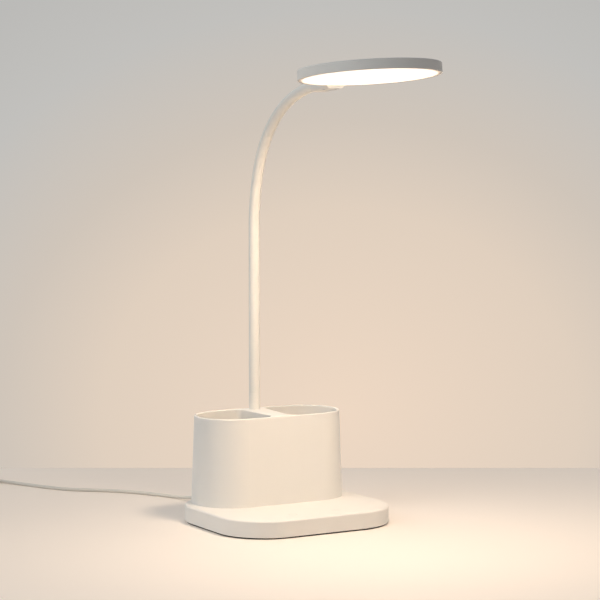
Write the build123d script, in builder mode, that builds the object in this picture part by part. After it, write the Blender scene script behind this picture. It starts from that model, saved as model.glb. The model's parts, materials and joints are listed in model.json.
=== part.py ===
"""Desk lamp: a flat base with a two-pocket pen holder, a gooseneck and a round LED head.

Millimetres. +Z is up, -Y is the front and the origin is the middle of the base on the table.
"""

import os
from math import asin, cos, degrees, pi, radians, sin, sqrt, tan

from build123d import *

os.makedirs("parts", exist_ok=True)

# ---- clearances -----------------------------------------------------------------------------
FIT_GAP = 0.25           # between parts that drop into each other
SCREW_GAP = 0.1          # round a screw's shank
BALL_GAP = 0.06          # between the ball and the cup of a neck joint
TOUCH_GAP = 0.05         # between thin parts stacked in the head
OVERRUN = 1.0            # how far a cut runs past the face that it opens

# ---- base -----------------------------------------------------------------------------------
BASE_WIDTH = 157.0
BASE_DEPTH = 136.0
BASE_CORNER = 43.0
BASE_HEIGHT = 14.0       # of the shell, above the pad
BASE_WALL = 2.4
BASE_TOP_WALL = 2.4
BASE_TOP_ROUND = 1.6
BASE_FOOT_ROUND = 0.6
PAD_THICK = 1.2
PAD_INSET = 1.5
COVER_THICK = 2.4

# ---- counterweight --------------------------------------------------------------------------
WEIGHT_SIDE_ROOM = 22.5  # from the base's side to the plate
WEIGHT_BOARD_GAP = 7.0   # from the control board to the plate
WEIGHT_NECK_ROOM = 20.0  # from the plate to the neck's middle line
WEIGHT_THICK = 5.0
WEIGHT_CORNER = 6.0
WEIGHT_LIFT = 0.2        # above the bottom cover
WEIGHT_POST_SIDE = 10.0  # from the plate's side, front and back to its screws
WEIGHT_POST_FRONT = 8.0
WEIGHT_POST_BACK = 32.0

# ---- screws and their posts -----------------------------------------------------------------
SCREW_DIA = 3.0
SCREW_HEAD_DIA = 5.4
SCREW_HEAD_THICK = 1.6
SCREW_HEAD_TAPER = 8.0   # degrees, so that each head narrows a little
DRIVE_LENGTH = 0.6       # of the cross in each head, as parts of the head's diameter
DRIVE_WIDTH = 0.14
POST_DIA = 7.0
POST_ROOM = 0.5          # free depth of the hole beyond the screw's end
COVER_POST_SIDE = 18.5   # from the base's side, and from its front and back
COVER_POST_END = 19.0
COVER_SCREW_LENGTH = 7.0
WEIGHT_SCREW_GRIP = 3.4  # length of thread in the post

# ---- touch control --------------------------------------------------------------------------
TOUCH_X = 21.0           # of the two touch marks, left and right
TOUCH_FRONT = 21.0       # from the base's front
BOARD_WIDTH = 80.0
BOARD_DEPTH = 24.0
BOARD_THICK = 1.2
BOARD_DROP = 3.2         # below the roof of the base
BOARD_POST_X = 34.0
BOARD_POST_DIA = 6.0
BOARD_SCREW_DIA = 2.0
BOARD_SCREW_HEAD_DIA = 3.8
BOARD_SCREW_HEAD_THICK = 1.2
BOARD_SCREW_GRIP = 2.4
CHIP_SIZE = 7.0
CHIP_THICK = 1.4
SOCKET_WIDTH = 9.0       # plug-in wire socket on the board
SOCKET_DEPTH = 6.0
SOCKET_THICK = 2.6
SPRING_DIA = 7.0
SPRING_WALL = 0.7

# ---- pen holder -----------------------------------------------------------------------------
HOLDER_WIDTH = 133.4     # over the rim
HOLDER_DEPTH = 62.4      # over the rim
HOLDER_FLARE = 2.7       # how much further out each side is at the foot
HOLDER_HEIGHT = 74.5
HOLDER_BACK = 34.9       # from the base's back to the holder's middle
HOLDER_WALL = 2.6        # at the rim
HOLDER_RIM_ROUND = 0.9
POCKET_DEPTH = 66.0
POCKET_CORNER_FRONT = 10.0   # beside the divider
POCKET_CORNER_BACK = 5.0
HOLDER_FLOOR = 2.4
DIVIDER_FRONT = 15.6     # its width at the front wall
DIVIDER_BACK = 22.4      # its width at the back wall
DIVIDER_WALL = 2.2
DIVIDER_SINK = 0.8       # how deep the divider runs into the wall, as a part of the wall
HOLDER_SCREW_X = 47.0
HOLDER_SCREW_SPREAD = 14.0   # front and back of the holder's middle
HOLDER_SCREW_LENGTH = 8.0

# ---- neck -----------------------------------------------------------------------------------
NECK_BACK = 12.0         # from the base's back
NECK_STRAIGHT = 246.3    # height at which the neck starts to bend
NECK_LOW_RADIUS = 160.0
NECK_LOW_TURN = 17.9     # degrees
NECK_MIDDLE_RADIUS = 100.0
NECK_MIDDLE_TURN = 50.6
NECK_HIGH_RADIUS = 168.0
NECK_HIGH_TURN = 15.15
SLEEVE_DIA = 9.2
SLEEVE_WALL = 1.2
CORE_DIA = 6.6
CORE_BORE = 2.4
JOINT_COUNT = 9
JOINT_FIRST = 104.0      # along the neck from the table
JOINT_PITCH = 38.0
JOINT_SLEEVE_GAP = 1.6   # between two sleeve sections
BALL_DIA = 5.0
BALL_STEM_DIA = 3.4
CUP_LIP = 0.5            # how far the cup reaches past the ball's middle
BALL_SHOULDER = 2.2      # from the ball's middle down to the section below
NECK_HOLE_GAP = 0.2      # round the sleeve where it leaves the divider

# ---- foot of the neck -----------------------------------------------------------------------
FOOT_FLANGE_DIA = 16.0
FOOT_FLANGE_THICK = 3.0
FOOT_TUBE_DIA = 10.4
FOOT_TUBE_HEIGHT = 20.0
FOOT_SEAT = 4.0          # from the flange up to the end of the neck's core
FOOT_THREAD_DIA = 10.0
FOOT_THREAD_LENGTH = 9.0
FOOT_BORE = 4.0
WASHER_DIA = 19.0
WASHER_THICK = 1.0
NUT_FLATS = 16.0
NUT_THICK = 4.5

# ---- head -----------------------------------------------------------------------------------
HEAD_DIA = 114.0
HEAD_THICK = 8.1
HEAD_PLATE = 1.5
HEAD_WALL = 1.7
HEAD_TOP_ROUND = 0.8
DIFFUSER_THICK = 1.6
GUIDE_DIA = 107.0
GUIDE_THICK = 3.0
REFLECTOR_THICK = 0.3
STRIP_THICK = 0.4
STRIP_HEIGHT = 2.8
LED_COUNT = 24
LED_WIDTH = 3.0
LED_DEPTH = 0.8
LED_HEIGHT = 1.8
TAIL_REACH = 78.0        # from the middle of the head to the mouth of its tail
TAIL_FRONT = 52.0        # from the middle of the head to the front of its tail
TAIL_WIDTH = 17.0
TAIL_TOP = 9.2           # over the diffuser's face
TAIL_BOTTOM = -2.6
TAIL_CORNER = 3.6
TAIL_WALL = 1.5
TAIL_COVER_THICK = 1.2
TAIL_AXIS = 3.8          # height of the neck's end over the diffuser's face
FERRULE_DIA = 10.4
FERRULE_LENGTH = 3.0
CORE_GRIP = 13.0         # length of core inside the tail
CLAMP_LENGTH = 8.0
CLAMP_SET_BACK = 3.0     # from the tail's mouth to the clamp
CLAMP_UNDER = 0.9        # steel under the neck's core
TAIL_SCREW_X = 5.5
TAIL_SCREW_DIA = 1.6
TAIL_SCREW_HEAD_DIA = 2.9
TAIL_SCREW_HEAD_THICK = 0.9
TAIL_SCREW_GRIP = 2.6
TAIL_POST_DIA = 3.4
FOAM_DIA = 100.0

# ---- cord -----------------------------------------------------------------------------------
CORD_DIA = 3.0
CORD_GAP = 0.06          # round the cord in the strain relief
RELIEF_X = -22.0
RELIEF_Z = 8.3
RELIEF_FLANGE_DIA = 8.4
RELIEF_FLANGE_THICK = 1.5
RELIEF_NECK_DIA = 6.6
RELIEF_NOSE_LENGTH = 7.0
RELIEF_NOSE_END_DIA = 4.6
CORD_LIE = 1.55          # height of the cord's middle where it lies on the table
COIL_LIE = 2.25          # height of the lower layer's middle, over the tie
CORD_ROUTE = (           # across, behind the back wall, height: straight out, down, to the left
    (RELIEF_X, -11.0, RELIEF_Z),
    (RELIEF_X, 24.0, RELIEF_Z),
    (-24.5, 58.0, 3.4),
    (-31.0, 82.0, CORD_LIE),
    (-41.0, 104.0, CORD_LIE),
    (-53.0, 124.0, CORD_LIE),
    (-67.0, 140.0, CORD_LIE),
    (-84.0, 154.0, CORD_LIE),
    (-99.0, 168.0, CORD_LIE),
    (-110.0, 188.0, CORD_LIE),
    (-120.0, 211.0, CORD_LIE),
    (-132.0, 233.0, COIL_LIE),
    (-143.5, 254.0, COIL_LIE),
)
ARC_SHARE = 0.45         # of the shorter run beside a corner, that its arc takes
COIL_RADIUS = 17.4       # middle of the turns
COIL_PITCH = 3.75
COIL_LAYER = 3.8
COIL_TURNS = 4           # in each of the two layers
COIL_END = 24.0          # from the last turn to the plug
SAME_HEADING = 0.001     # spread of two headings that count as one
SELF_GAP_STEP = 1.5      # between the points at which the coil's own gap is measured
SELF_GAP_SKIP = 2.5      # cord diameters along the cord that count as one place
TIE_WIDTH = 7.0
TIE_THICK = 0.6
TIE_GAP = 0.12
PLUG_GRIP_LENGTH = 30.0
PLUG_GRIP_WIDTH = 15.6
PLUG_GRIP_THICK = 8.4
PLUG_GRIP_ROUND = 2.4
PLUG_NOSE_LENGTH = 9.0
PLUG_NOSE_DIA = 6.4
PLUG_NOSE_END_DIA = 4.4
PLUG_LIE = 0.05          # lowest point of the plug over the table
PLUG_SHELL_WIDTH = 12.0
PLUG_SHELL_THICK = 4.5
PLUG_SHELL_LENGTH = 18.5
PLUG_SHELL_WALL = 0.35
PLUG_SHELL_SINK = 4.0    # hidden inside the grip
PLUG_TONGUE_THICK = 1.9


def save(builder, label):
    """Name a finished piece and write it to its own file."""
    builder.part.label = label
    export_step(builder.part, f"parts/{label}.step")


# ---- heights in the base --------------------------------------------------------------------
base_foot = PAD_THICK
base_top = base_foot + BASE_HEIGHT
base_roof = base_top - BASE_TOP_WALL
cover_top = base_foot + COVER_THICK
weight_foot = cover_top + WEIGHT_LIFT
weight_top = weight_foot + WEIGHT_THICK
board_top = base_roof - BOARD_DROP
board_foot = board_top - BOARD_THICK
cover_screw_grip = base_foot + SCREW_HEAD_THICK + COVER_SCREW_LENGTH - cover_top

holder_top = base_top + HOLDER_HEIGHT
pocket_floor = holder_top - POCKET_DEPTH
holder_cavity = pocket_floor - HOLDER_FLOOR

# Places on the base are measured from its sides, front and back.
back_wall_out = BASE_DEPTH / 2
back_wall_in = back_wall_out - BASE_WALL
neck_y = back_wall_out - NECK_BACK
holder_y = back_wall_out - HOLDER_BACK
touch_y = -BASE_DEPTH / 2 + TOUCH_FRONT
weight_width = BASE_WIDTH - 2 * WEIGHT_SIDE_ROOM
weight_front = touch_y + BOARD_DEPTH / 2 + WEIGHT_BOARD_GAP
weight_back = neck_y - WEIGHT_NECK_ROOM
cover_post_x = BASE_WIDTH / 2 - COVER_POST_SIDE
cover_post_y = BASE_DEPTH / 2 - COVER_POST_END
weight_post_x = weight_width / 2 - WEIGHT_POST_SIDE
cover_posts = [(x, y) for x in (-cover_post_x, cover_post_x) for y in (-cover_post_y, cover_post_y)]
weight_posts = [
    (x, y)
    for x in (-weight_post_x, weight_post_x)
    for y in (weight_front + WEIGHT_POST_FRONT, weight_back - WEIGHT_POST_BACK)
]
holder_posts = [
    (x, holder_y + y)
    for x in (-HOLDER_SCREW_X, HOLDER_SCREW_X)
    for y in (-HOLDER_SCREW_SPREAD, HOLDER_SCREW_SPREAD)
]
board_posts = [(-BOARD_POST_X, touch_y), (BOARD_POST_X, touch_y)]
touch_places = [(-TOUCH_X, touch_y), (TOUCH_X, touch_y)]


def base_outline(inset, height):
    """The base's rounded outline, drawn in by inset, at a height."""
    with BuildSketch(Plane.XY.offset(height)) as outline:
        RectangleRounded(BASE_WIDTH - 2 * inset, BASE_DEPTH - 2 * inset, BASE_CORNER - inset)
    return outline.sketch


# The soft pad that the lamp stands on shows as a dark line all round.
with BuildPart() as anti_slip_pad:
    extrude(base_outline(PAD_INSET, 0), amount=PAD_THICK)
save(anti_slip_pad, "anti_slip_pad")

# The bottom cover closes the shell. Its screws sit in counterbores, under the pad.
with BuildPart() as base_bottom_cover:
    extrude(base_outline(BASE_WALL + FIT_GAP, base_foot), amount=COVER_THICK)
    with BuildSketch(Plane.XY.offset(base_foot)):
        with Locations(*cover_posts):
            Circle(SCREW_DIA / 2 + SCREW_GAP)
    extrude(amount=COVER_THICK, mode=Mode.SUBTRACT)
    with BuildSketch(Plane.XY.offset(base_foot)):
        with Locations(*cover_posts):
            Circle(SCREW_HEAD_DIA / 2 + FIT_GAP)
    extrude(amount=SCREW_HEAD_THICK, mode=Mode.SUBTRACT)
save(base_bottom_cover, "base_bottom_cover")

# The base shell: a shallow tray turned over, with posts for all that is screwed to its roof.
with BuildPart() as base_shell:
    extrude(base_outline(0, base_foot), amount=BASE_HEIGHT)
    fillet(base_shell.edges().group_by(Axis.Z)[-1], BASE_TOP_ROUND)
    fillet(base_shell.edges().group_by(Axis.Z)[0], BASE_FOOT_ROUND)
    extrude(
        base_outline(BASE_WALL, base_foot), amount=base_roof - base_foot, mode=Mode.SUBTRACT
    )
    for posts, post_foot, post_dia in (
        (cover_posts, cover_top, POST_DIA),
        (weight_posts, weight_top, POST_DIA),
        (board_posts, board_top, BOARD_POST_DIA),
    ):
        with BuildSketch(Plane.XY.offset(post_foot)):
            with Locations(*posts):
                Circle(post_dia / 2)
        extrude(amount=base_roof - post_foot)
    for posts, post_foot, shank_dia, depth in (
        (cover_posts, cover_top, SCREW_DIA, cover_screw_grip + POST_ROOM),
        (weight_posts, weight_top, SCREW_DIA, WEIGHT_SCREW_GRIP + POST_ROOM),
        (board_posts, board_top, BOARD_SCREW_DIA, BOARD_SCREW_GRIP + POST_ROOM),
        (holder_posts, base_roof, SCREW_DIA, BASE_TOP_WALL),
        ([(0, neck_y)], base_roof, FOOT_THREAD_DIA, BASE_TOP_WALL),
    ):
        with BuildSketch(Plane.XY.offset(post_foot)):
            with Locations(*posts):
                Circle(shank_dia / 2 + SCREW_GAP)
        extrude(amount=depth, mode=Mode.SUBTRACT)
    with BuildSketch(Plane.XZ.offset(-back_wall_out - OVERRUN)):
        with Locations((RELIEF_X, RELIEF_Z)):
            Circle(RELIEF_NECK_DIA / 2 + SCREW_GAP)
    extrude(amount=BASE_WALL + 2 * OVERRUN, mode=Mode.SUBTRACT)
save(base_shell, "base_shell")


def screws(name, places, seat, length, shank_dia, head_dia, head_thick):
    """Pan-head screws along the seat plane's normal, with their heads under that plane."""
    with BuildPart() as group:
        with BuildSketch(seat):
            with Locations(*places):
                Circle(head_dia / 2)
        extrude(amount=-head_thick, taper=SCREW_HEAD_TAPER)
        with BuildSketch(seat):
            with Locations(*places):
                Circle(shank_dia / 2)
        extrude(amount=length)
        with BuildSketch(seat.offset(-head_thick)):
            with Locations(*places):
                Rectangle(head_dia * DRIVE_LENGTH, head_dia * DRIVE_WIDTH)
                Rectangle(head_dia * DRIVE_WIDTH, head_dia * DRIVE_LENGTH)
        extrude(amount=head_thick / 2, mode=Mode.SUBTRACT)
    save(group, name)


screws(
    "base_screws", cover_posts, Plane.XY.offset(base_foot + SCREW_HEAD_THICK),
    COVER_SCREW_LENGTH, SCREW_DIA, SCREW_HEAD_DIA, SCREW_HEAD_THICK,
)
screws(
    "counterweight_screws", weight_posts, Plane.XY.offset(weight_foot + SCREW_HEAD_THICK),
    WEIGHT_THICK - SCREW_HEAD_THICK + WEIGHT_SCREW_GRIP,
    SCREW_DIA, SCREW_HEAD_DIA, SCREW_HEAD_THICK,
)
screws(
    "board_screws", board_posts, Plane.XY.offset(board_foot), BOARD_THICK + BOARD_SCREW_GRIP,
    BOARD_SCREW_DIA, BOARD_SCREW_HEAD_DIA, BOARD_SCREW_HEAD_THICK,
)
screws(
    "holder_screws", holder_posts, Plane.XY.offset(base_roof), HOLDER_SCREW_LENGTH,
    SCREW_DIA, SCREW_HEAD_DIA, SCREW_HEAD_THICK,
)

# The steel counterweight hangs from the shell's posts, just clear of the cover.
with BuildPart() as counterweight:
    with BuildSketch(Plane.XY.offset(weight_foot)):
        with Locations((0, (weight_front + weight_back) / 2)):
            RectangleRounded(weight_width, weight_back - weight_front, WEIGHT_CORNER)
        with Locations(*weight_posts):
            Circle(SCREW_DIA / 2 + SCREW_GAP, mode=Mode.SUBTRACT)
    extrude(amount=WEIGHT_THICK)
    with BuildSketch(Plane.XY.offset(weight_foot)):
        with Locations(*weight_posts):
            Circle(SCREW_HEAD_DIA / 2 + FIT_GAP)
    extrude(amount=SCREW_HEAD_THICK, mode=Mode.SUBTRACT)
save(counterweight, "counterweight")

# The control board sits under the two touch marks, with a chip and two wire sockets below it.
with BuildPart() as control_board:
    with BuildSketch(Plane.XY.offset(board_foot)):
        with Locations((0, touch_y)):
            Rectangle(BOARD_WIDTH, BOARD_DEPTH)
        with Locations(*board_posts):
            Circle(BOARD_SCREW_DIA / 2 + SCREW_GAP, mode=Mode.SUBTRACT)
    extrude(amount=BOARD_THICK)
    with BuildSketch(Plane.XY.offset(board_foot)):
        with Locations((0, touch_y)):
            Rectangle(CHIP_SIZE, CHIP_SIZE)
    extrude(amount=-CHIP_THICK)
    with BuildSketch(Plane.XY.offset(board_foot)):
        with Locations(*touch_places):
            Rectangle(SOCKET_WIDTH, SOCKET_DEPTH)
    extrude(amount=-SOCKET_THICK)
save(control_board, "control_board")

# A contact spring stands between the board and the roof under each touch mark.
with BuildPart() as touch_springs:
    with BuildSketch(Plane.XY.offset(board_top)):
        with Locations(*touch_places):
            Circle(SPRING_DIA / 2)
            Circle(SPRING_DIA / 2 - SPRING_WALL, mode=Mode.SUBTRACT)
    extrude(amount=BOARD_DROP)
save(touch_springs, "touch_springs")


# ---- pen holder -----------------------------------------------------------------------------
def slot(inset, height):
    """The holder's outline: two half rounds joined by straight sides."""
    with BuildSketch(Plane.XY.offset(height)) as outline:
        with Locations((0, holder_y)):
            SlotOverall(HOLDER_WIDTH - 2 * inset, HOLDER_DEPTH - 2 * inset)
    return outline.sketch


divider_front_y = holder_y - HOLDER_DEPTH / 2 + HOLDER_WALL
divider_back_y = holder_y + HOLDER_DEPTH / 2 - HOLDER_WALL


def divider(inset, height):
    """The divider's plan: narrow at the front, wide at the back, where the neck passes."""
    overrun = HOLDER_WALL * DIVIDER_SINK - inset
    spread = (DIVIDER_BACK - DIVIDER_FRONT) / 2 / (divider_back_y - divider_front_y)
    front_half = DIVIDER_FRONT / 2 - spread * overrun - inset
    back_half = DIVIDER_BACK / 2 + spread * overrun - inset
    front_y = divider_front_y - overrun
    back_y = divider_back_y + overrun
    with BuildSketch(Plane.XY.offset(height)) as plan:
        with BuildLine():
            Polyline(
                (-front_half, front_y),
                (front_half, front_y),
                (back_half, back_y),
                (-back_half, back_y),
                close=True,
            )
        make_face()
    return plan.sketch


with BuildPart() as pen_holder:
    loft([slot(-HOLDER_FLARE, base_top).face(), slot(0, holder_top).face()], ruled=True)
    with BuildSketch(Plane.XY.offset(pocket_floor)) as pockets:
        add(slot(HOLDER_WALL, 0))
        add(divider(0, 0), mode=Mode.SUBTRACT)
        for wall_y, corner_round in (
            (divider_front_y, POCKET_CORNER_FRONT), (divider_back_y, POCKET_CORNER_BACK),
        ):
            corners = pockets.vertices().filter_by(
                lambda v: abs(v.Y - wall_y) < HOLDER_WALL and abs(v.X) < DIVIDER_BACK
            )
            fillet(corners, corner_round)
    extrude(amount=POCKET_DEPTH, mode=Mode.SUBTRACT)
    fillet(pen_holder.edges().group_by(Axis.Z)[-1], HOLDER_RIM_ROUND)
    extrude(
        slot(HOLDER_WALL - HOLDER_FLARE, base_top), amount=holder_cavity - base_top,
        mode=Mode.SUBTRACT,
    )
    extrude(
        divider(DIVIDER_WALL, base_top), amount=HOLDER_HEIGHT - DIVIDER_WALL, mode=Mode.SUBTRACT
    )
    with BuildSketch(Plane.XY.offset(base_top)):
        with Locations(*holder_posts):
            Circle(POST_DIA / 2)
    extrude(amount=holder_cavity - base_top)
    with BuildSketch(Plane.XY.offset(base_top)):
        with Locations(*holder_posts):
            Circle(SCREW_DIA / 2 + SCREW_GAP)
    extrude(amount=HOLDER_SCREW_LENGTH - BASE_TOP_WALL + POST_ROOM, mode=Mode.SUBTRACT)
    with BuildSketch(Plane.XY.offset(base_top)):
        with Locations((0, neck_y)):
            Circle(SLEEVE_DIA / 2 + NECK_HOLE_GAP)
    extrude(amount=HOLDER_HEIGHT, mode=Mode.SUBTRACT)
save(pen_holder, "pen_holder")

# ---- foot of the neck: a threaded steel bush through the base's roof -----------------------
with BuildPart() as neck_foot:
    with BuildSketch(Plane.XY.offset(base_top)):
        with Locations((0, neck_y)):
            Circle(FOOT_FLANGE_DIA / 2)
    extrude(amount=FOOT_FLANGE_THICK)
    with BuildSketch(Plane.XY.offset(base_top)):
        with Locations((0, neck_y)):
            Circle(FOOT_TUBE_DIA / 2)
    extrude(amount=FOOT_FLANGE_THICK + FOOT_TUBE_HEIGHT)
    with BuildSketch(Plane.XY.offset(base_top)):
        with Locations((0, neck_y)):
            Circle(FOOT_THREAD_DIA / 2)
    extrude(amount=-FOOT_THREAD_LENGTH)
    with BuildSketch(Plane.XY.offset(base_top - FOOT_THREAD_LENGTH)):
        with Locations((0, neck_y)):
            Circle(FOOT_BORE / 2)
    extrude(amount=FOOT_THREAD_LENGTH + FOOT_SEAT, mode=Mode.SUBTRACT)
    with BuildSketch(Plane.XY.offset(base_top + FOOT_SEAT)):
        with Locations((0, neck_y)):
            Circle(CORE_DIA / 2 + TOUCH_GAP)
    extrude(amount=FOOT_TUBE_HEIGHT, mode=Mode.SUBTRACT)
save(neck_foot, "neck_foot")

with BuildPart() as neck_washer:
    with BuildSketch(Plane.XY.offset(base_roof)):
        with Locations((0, neck_y)):
            Circle(WASHER_DIA / 2)
            Circle(FOOT_THREAD_DIA / 2 + SCREW_GAP, mode=Mode.SUBTRACT)
    extrude(amount=-WASHER_THICK)
save(neck_washer, "neck_washer")

with BuildPart() as neck_nut:
    with BuildSketch(Plane.XY.offset(base_roof - WASHER_THICK)):
        with Locations((0, neck_y)):
            RegularPolygon(NUT_FLATS / 2, 6, major_radius=False)
            Circle(FOOT_THREAD_DIA / 2 + SCREW_GAP, mode=Mode.SUBTRACT)
    extrude(amount=-NUT_THICK)
save(neck_nut, "neck_nut")

# ---- neck -----------------------------------------------------------------------------------
# Distance s runs along the neck's middle line from the table: straight up, then three arcs that
# turn towards the front. Each stretch is (start s, end s, radius, tilt at its start).
neck_bends = (
    (NECK_LOW_RADIUS, NECK_LOW_TURN),
    (NECK_MIDDLE_RADIUS, NECK_MIDDLE_TURN),
    (NECK_HIGH_RADIUS, NECK_HIGH_TURN),
)
stretches = [(0.0, NECK_STRAIGHT, 0.0, 0.0)]
for bend_radius, bend_turn in neck_bends:
    start, tilt = stretches[-1][1], sum(t for _, t in neck_bends[: len(stretches) - 1])
    stretches.append((start, start + bend_radius * radians(bend_turn), bend_radius, tilt))
neck_end = stretches[-1][1]


def neck_at(s):
    """Point on the neck's middle line and its tilt from upright, in degrees."""
    forward, height, tilt = 0.0, 0.0, 0.0
    for start, end, radius, first_tilt in stretches:
        reach = min(s, end) - start
        if radius == 0:
            height += reach
        else:
            tilt = first_tilt + degrees(reach / radius)
            forward += radius * (cos(radians(first_tilt)) - cos(radians(tilt)))
            height += radius * (sin(radians(tilt)) - sin(radians(first_tilt)))
        if s <= end:
            return Vector(0, neck_y - forward, height), tilt
    past = s - neck_end
    slope = radians(tilt)
    return Vector(0, neck_y - forward - past * sin(slope), height + past * cos(slope)), tilt


def neck_plane(s):
    """Plane across the neck at s, with its X along the lamp's X."""
    place, tilt = neck_at(s)
    return Plane(place, x_dir=(1, 0, 0), z_dir=(0, -sin(radians(tilt)), cos(radians(tilt))))


def along_neck(start, end, radius, mode=Mode.ADD):
    """A round bar of the given radius that follows the neck from start to end."""
    stops = [start] + [s for _, s, _, _ in stretches if start < s < end] + [end]
    with BuildLine(mode=Mode.PRIVATE) as way:
        for a, b in zip(stops[:-1], stops[1:]):
            middle = (a + b) / 2
            if middle < NECK_STRAIGHT or middle > neck_end:
                Line(neck_at(a)[0], neck_at(b)[0])
            else:
                ThreePointArc(neck_at(a)[0], neck_at(middle)[0], neck_at(b)[0])
    with BuildSketch(neck_plane(start), mode=Mode.PRIVATE) as section:
        Circle(radius)
    sweep(section.sketch, path=way.wire(), mode=mode)


joints = [JOINT_FIRST + JOINT_PITCH * k for k in range(JOINT_COUNT)]
core_start = base_top + FOOT_SEAT
sleeve_start = base_top + FOOT_FLANGE_THICK + FOOT_TUBE_HEIGHT + FIT_GAP
core_finish = neck_end + CORE_GRIP
sleeve_finish = neck_end - FERRULE_LENGTH

# Each core section ends in a ball at its top, which the cup of the next section takes.
for number in range(JOINT_COUNT + 1):
    below = joints[number - 1] if number > 0 else None
    above = joints[number] if number < JOINT_COUNT else None
    with BuildPart() as neck_core:
        first = core_start if below is None else below - CUP_LIP
        last = core_finish if above is None else above - BALL_SHOULDER
        along_neck(first, last, CORE_DIA / 2)
        if above is not None:
            along_neck(last - OVERRUN, above, BALL_STEM_DIA / 2)
            with Locations(neck_plane(above)):
                Sphere(BALL_DIA / 2)
        if below is not None:
            with Locations(neck_plane(below)):
                Sphere(BALL_DIA / 2 + BALL_GAP, mode=Mode.SUBTRACT)
        bore_end = last if above is None else above + BALL_DIA
        along_neck(first - OVERRUN, bore_end + OVERRUN, CORE_BORE / 2, mode=Mode.SUBTRACT)
    save(neck_core, f"neck_core_{number + 1:02d}")

    with BuildPart() as neck_sleeve:
        first = sleeve_start if below is None else below + JOINT_SLEEVE_GAP / 2
        last = sleeve_finish if above is None else above - JOINT_SLEEVE_GAP / 2
        along_neck(first, last, SLEEVE_DIA / 2)
        along_neck(
            first - OVERRUN, last + OVERRUN, SLEEVE_DIA / 2 - SLEEVE_WALL, mode=Mode.SUBTRACT
        )
    save(neck_sleeve, f"neck_sleeve_{number + 1:02d}")

# A crimped ring closes the sleeve's end where the neck enters the head's tail.
with BuildPart() as neck_ferrule:
    along_neck(sleeve_finish, neck_end, FERRULE_DIA / 2)
    along_neck(
        sleeve_finish - OVERRUN, neck_end + OVERRUN, CORE_DIA / 2 + TOUCH_GAP, mode=Mode.SUBTRACT
    )
save(neck_ferrule, "neck_ferrule")

# ---- head -----------------------------------------------------------------------------------
# The head's own plane lies in the diffuser's face: local X is the lamp's X, local Y points back
# along the tail and local Z is the head's upper side.
mouth, mouth_tilt = neck_at(neck_end)
head_pitch = radians(90 - mouth_tilt)
head_back = Vector(0, cos(head_pitch), -sin(head_pitch))
head_up = Vector(0, sin(head_pitch), cos(head_pitch))
head_middle = mouth - head_back * TAIL_REACH - head_up * TAIL_AXIS
head = Plane(head_middle, x_dir=(1, 0, 0), z_dir=head_up)
head_radius = HEAD_DIA / 2
cup_radius = head_radius - HEAD_WALL
plate_foot = HEAD_THICK - HEAD_PLATE
guide_foot = DIFFUSER_THICK + TOUCH_GAP
reflector_foot = guide_foot + GUIDE_THICK + TOUCH_GAP
foam_foot = reflector_foot + REFLECTOR_THICK
strip_out = cup_radius - TOUCH_GAP
strip_in = strip_out - STRIP_THICK
led_circle = strip_in * cos(asin(LED_WIDTH / 2 / strip_in)) - LED_DEPTH / 2
tail_split = TAIL_BOTTOM + TAIL_COVER_THICK
tail_back = TAIL_REACH - TAIL_WALL
clamp_foot = TAIL_AXIS - CORE_DIA / 2 - CLAMP_UNDER
clamp_middle = TAIL_REACH - CLAMP_SET_BACK - CLAMP_LENGTH / 2
cover_screw_y = (cup_radius + clamp_middle - CLAMP_LENGTH / 2) / 2
clamp_screws = [(-TAIL_SCREW_X, clamp_middle), (TAIL_SCREW_X, clamp_middle)]
cover_screws = [(-TAIL_SCREW_X, cover_screw_y), (TAIL_SCREW_X, cover_screw_y)]
tail_mouth = Plane(head_middle + head_back * TAIL_REACH, x_dir=(1, 0, 0), z_dir=-head_back)
channel_half = TAIL_WIDTH / 2 - TAIL_WALL


def disc(radius, height):
    """A round outline in the head's plane, raised by height."""
    with BuildSketch(head.offset(height)) as outline:
        Circle(radius)
    return outline.sketch


def tail_plan(half_width, front, back, height):
    """A rectangle along the tail between two distances from the head's middle."""
    with BuildSketch(head.offset(height)) as plan:
        with Locations((0, (front + back) / 2)):
            Rectangle(2 * half_width, back - front)
    return plan.sketch


def tail_posts(places, diameter, height):
    """Circles at screw places in the tail."""
    with BuildSketch(head.offset(height)) as plan:
        with Locations(*places):
            Circle(diameter / 2)
    return plan.sketch


# The tail is one rounded bar, of which the shell has the upper part and its cover the rest.
with BuildSketch(tail_mouth) as tail_section:
    with Locations((0, (TAIL_TOP + TAIL_BOTTOM) / 2)):
        RectangleRounded(TAIL_WIDTH, TAIL_TOP - TAIL_BOTTOM, TAIL_CORNER)
with BuildSketch(tail_mouth) as core_section:
    with Locations((0, TAIL_AXIS)):
        Circle(CORE_DIA / 2 + TOUCH_GAP)

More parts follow.
